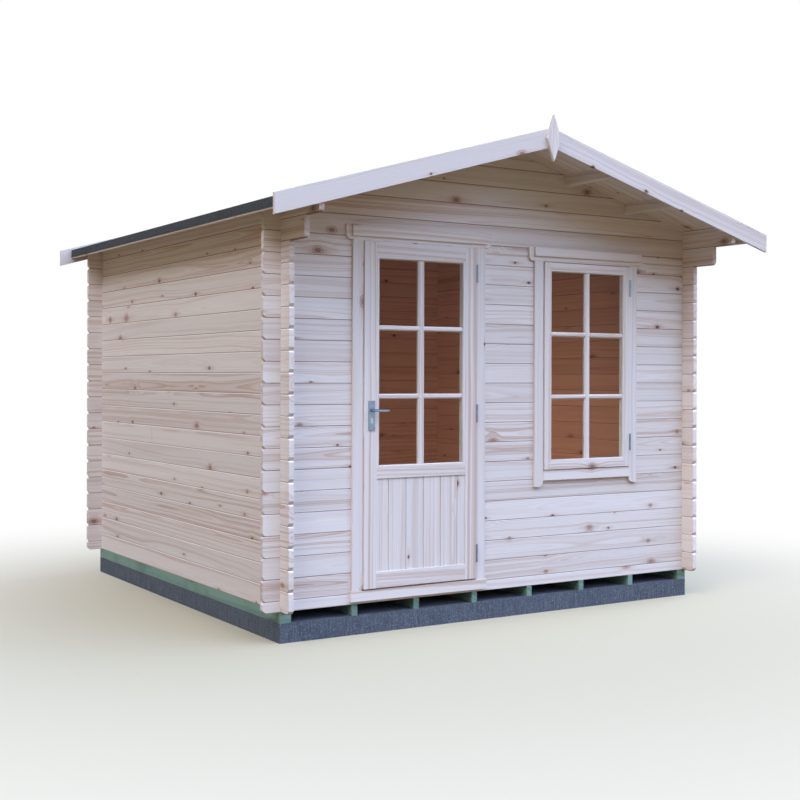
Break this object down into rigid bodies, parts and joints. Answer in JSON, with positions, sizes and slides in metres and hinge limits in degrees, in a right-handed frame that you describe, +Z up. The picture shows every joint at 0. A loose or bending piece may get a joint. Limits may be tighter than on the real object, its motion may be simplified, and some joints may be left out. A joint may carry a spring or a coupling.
{
  "type": "log cabin",
  "caption": "Small garden log cabin of interlocked tongued spruce logs with a glazed door, a tall window and a felted gable roof, on timber bearers and a concrete base.",
  "frame": {"origin": "middle of the concrete base's underside, at ground level", "axes": "+Z up, -Y towards the front with the door and window, +X to the right seen from the front"},
  "size_m": [3.294, 3.348, 2.7514],
  "materials": {
    "spruce_logs": "planed, untreated",
    "spruce_boards": "planed, untreated",
    "spruce_joinery": "planed, untreated",
    "treated_timber": "sawn, pressure treated",
    "concrete": "combed, matt",
    "roofing_felt": "mineral faced, matt",
    "satin_metal": "satin",
    "clear_glass": "clear"
  },
  "bodies": {
    "cabin": {"concrete_base": "concrete", "bearers": "treated_timber", "floor": "spruce_boards", "left_wall_odd_logs": "spruce_logs", "left_wall_even_logs": "spruce_logs", "right_wall_odd_logs": "spruce_logs", "right_wall_even_logs": "spruce_logs", "bracket_logs": "spruce_logs", "wall_plates": "spruce_logs", "back_wall_odd_logs": "spruce_logs", "back_wall_even_logs": "spruce_logs", "front_sill_log": "spruce_logs", "front_left_odd_logs": "spruce_logs", "front_left_even_logs": "spruce_logs", "front_right_odd_logs": "spruce_logs", "front_right_even_logs": "spruce_logs", "front_gable_odd_logs": "spruce_logs", "front_gable_even_logs": "spruce_logs", "purlins": "spruce_logs", "left_roof_boards": "spruce_boards", "right_roof_boards": "spruce_boards", "left_felt": "roofing_felt", "right_felt": "roofing_felt", "eaves_boards": "spruce_boards", "left_bargeboards": "spruce_boards", "right_bargeboards": "spruce_boards", "finial": "spruce_boards", "door_posts": "spruce_joinery", "door_frame_ends": "spruce_joinery", "door_stops": "spruce_joinery", "door_trims": "spruce_joinery", "door_threshold": "spruce_joinery", "door_hinge_pins": "satin_metal", "window_posts": "spruce_joinery", "window_frame_ends": "spruce_joinery", "window_stops": "spruce_joinery", "window_trims": "spruce_joinery", "window_sill": "spruce_joinery", "sash_stiles": "spruce_joinery", "sash_rails": "spruce_joinery", "window_glass": "clear_glass", "window_hinges": "satin_metal", "head_boards": "spruce_joinery", "drip_boards": "spruce_joinery"},
    "door": {"door_stiles": "spruce_joinery", "door_rails": "spruce_joinery", "door_panel": "spruce_joinery", "door_glass": "clear_glass", "door_hinge_sockets": "satin_metal", "door_plates": "satin_metal"},
    "lever": {"door_lever": "satin_metal"}
  },
  "joints": [
    {"name": "door_swing", "type": "hinge", "parent": "cabin", "child": "door", "pos_m": [-0.204, -1.4155, 1.1495], "axis": [0, 0, 1], "range_deg": [0, 165]},
    {"name": "lever_turn", "type": "hinge", "parent": "door", "child": "lever", "pos_m": [-0.881, -1.411, 1.173], "axis": [0, 1, 0], "range_deg": [0, 40], "stiffness_Nm_per_rad": 0.8, "springref_deg": -28.65}
  ]
}
